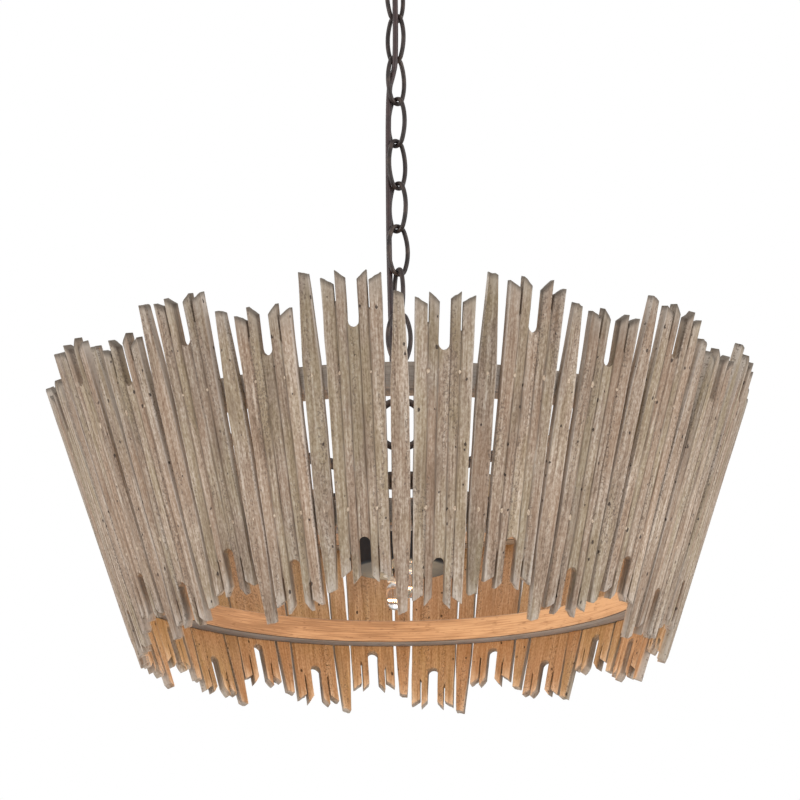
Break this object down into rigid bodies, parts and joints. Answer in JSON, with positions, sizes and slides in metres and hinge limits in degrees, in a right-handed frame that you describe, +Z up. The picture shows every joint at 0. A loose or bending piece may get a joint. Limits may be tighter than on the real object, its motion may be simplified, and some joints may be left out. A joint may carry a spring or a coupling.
{
  "type": "wooden slat chandelier",
  "caption": "Hanging chandelier with a flared round shade of staggered weathered boards on two wooden hoops, lit from inside, hung by an oval-link chain and cord from a ceiling canopy.",
  "frame": {"origin": "on the ceiling plane, at the middle of the crossbar and on the chain's axis", "axes": "+Z up, out of the ceiling; the hub ring faces -Y, which is the front of the picture; +X to the right"},
  "size_m": [0.6078, 0.6093, 0.7113],
  "materials": {
    "weathered_wood": "rough weathered grey-brown",
    "hoop_wood": "rough sawn",
    "dark_bronze": "dark bronze, satin",
    "cord_plastic": "dark brown jacket",
    "white_ceramic": "glazed",
    "bulb_glass": "warm white capsule",
    "pan_steel": "dark grey enamel",
    "zinc_steel": "dull zinc"
  },
  "bodies": {
    "ceiling_set": {"crossbar": "zinc_steel", "canopy": "dark_bronze", "top_nipple": "zinc_steel", "top_nut": "zinc_steel", "screw_collar": "dark_bronze", "canopy_loop": "dark_bronze", "supply_cord": "cord_plastic"},
    "link_01": {"link_01": "dark_bronze"},
    "link_02": {"link_02": "dark_bronze"},
    "link_03": {"link_03": "dark_bronze"},
    "link_04": {"link_04": "dark_bronze"},
    "link_05": {"link_05": "dark_bronze"},
    "link_06": {"link_06": "dark_bronze"},
    "link_07": {"link_07": "dark_bronze"},
    "link_08": {"link_08": "dark_bronze"},
    "link_09": {"link_09": "dark_bronze"},
    "link_10": {"link_10": "dark_bronze"},
    "fixture": {"hoop_brads": "zinc_steel", "hub_ring": "dark_bronze", "lamp_leads": "cord_plastic", "lamp_pan": "pan_steel", "lamp_sockets": "white_ceramic", "lower_hoop": "hoop_wood", "pan_cover": "pan_steel", "panel_01": "weathered_wood", "panel_02": "weathered_wood", "panel_03": "weathered_wood", "panel_04": "weathered_wood", "panel_05": "weathered_wood", "panel_06": "weathered_wood", "panel_07": "weathered_wood", "panel_08": "weathered_wood", "panel_09": "weathered_wood", "panel_10": "weathered_wood", "panel_11": "weathered_wood", "panel_12": "weathered_wood", "panel_13": "weathered_wood", "panel_14": "weathered_wood", "panel_15": "weathered_wood", "panel_16": "weathered_wood", "panel_17": "weathered_wood", "panel_18": "weathered_wood", "panel_19": "weathered_wood", "panel_20": "weathered_wood", "panel_21": "weathered_wood", "panel_22": "weathered_wood", "panel_23": "weathered_wood", "panel_24": "weathered_wood", "panel_25": "weathered_wood", "panel_26": "weathered_wood", "slats_high": "weathered_wood", "slats_low": "weathered_wood", "spider": "zinc_steel", "spider_screws": "zinc_steel", "stem": "zinc_steel", "stem_nuts": "zinc_steel", "upper_hoop": "hoop_wood"},
    "bulb_1": {"bulb_1": "bulb_glass"},
    "bulb_2": {"bulb_2": "bulb_glass"}
  },
  "joints": [
    {"name": "link_01_swing", "type": "hinge", "parent": "ceiling_set", "child": "link_01", "pos_m": [0, 0, -0.081], "axis": [0.7071, -0.7071, 0], "range_deg": [-15, 15], "deforming": ["supply_cord"]},
    {"name": "link_02_swing", "type": "hinge", "parent": "link_01", "child": "link_02", "pos_m": [0, 0, -0.1205], "axis": [0.7071, 0.7071, 0], "range_deg": [-15, 15], "deforming": ["supply_cord"]},
    {"name": "link_03_swing", "type": "hinge", "parent": "link_02", "child": "link_03", "pos_m": [0, 0, -0.1605], "axis": [0.7071, -0.7071, 0], "range_deg": [-15, 15], "deforming": ["supply_cord"]},
    {"name": "link_04_swing", "type": "hinge", "parent": "link_03", "child": "link_04", "pos_m": [0, 0, -0.2005], "axis": [0.7071, 0.7071, 0], "range_deg": [-15, 15], "deforming": ["supply_cord"]},
    {"name": "link_05_swing", "type": "hinge", "parent": "link_04", "child": "link_05", "pos_m": [0, 0, -0.2405], "axis": [0.7071, -0.7071, 0], "range_deg": [-15, 15], "deforming": ["supply_cord"]},
    {"name": "link_06_swing", "type": "hinge", "parent": "link_05", "child": "link_06", "pos_m": [0, 0, -0.2805], "axis": [0.7071, 0.7071, 0], "range_deg": [-15, 15], "deforming": ["supply_cord"]},
    {"name": "link_07_swing", "type": "hinge", "parent": "link_06", "child": "link_07", "pos_m": [0, 0, -0.3205], "axis": [0.5556, -0.8315, 0], "range_deg": [-15, 15], "deforming": ["supply_cord"]},
    {"name": "link_08_swing", "type": "hinge", "parent": "link_07", "child": "link_08", "pos_m": [0, 0, -0.3605], "axis": [0.9239, 0.3827, 0], "range_deg": [-15, 15], "deforming": ["supply_cord"]},
    {"name": "link_09_swing", "type": "hinge", "parent": "link_08", "child": "link_09", "pos_m": [0, 0, -0.4005], "axis": [0.1951, -0.9808, 0], "range_deg": [-15, 15], "deforming": ["supply_cord"]},
    {"name": "link_10_swing", "type": "hinge", "parent": "link_09", "child": "link_10", "pos_m": [0, 0, -0.4405], "axis": [1, 0, 0], "range_deg": [-15, 15], "deforming": ["supply_cord"]},
    {"name": "fixture_swing", "type": "hinge", "parent": "link_10", "child": "fixture", "pos_m": [0, 0, -0.4805], "axis": [0, -1, 0], "range_deg": [-15, 15], "deforming": ["supply_cord"]},
    {"name": "bulb_1_pull", "type": "slide", "parent": "fixture", "child": "bulb_1", "axis": [0, 0, -1], "range_m": [0, 0.02]},
    {"name": "bulb_2_pull", "type": "slide", "parent": "fixture", "child": "bulb_2", "axis": [0, 0, -1], "range_m": [0, 0.02]}
  ]
}
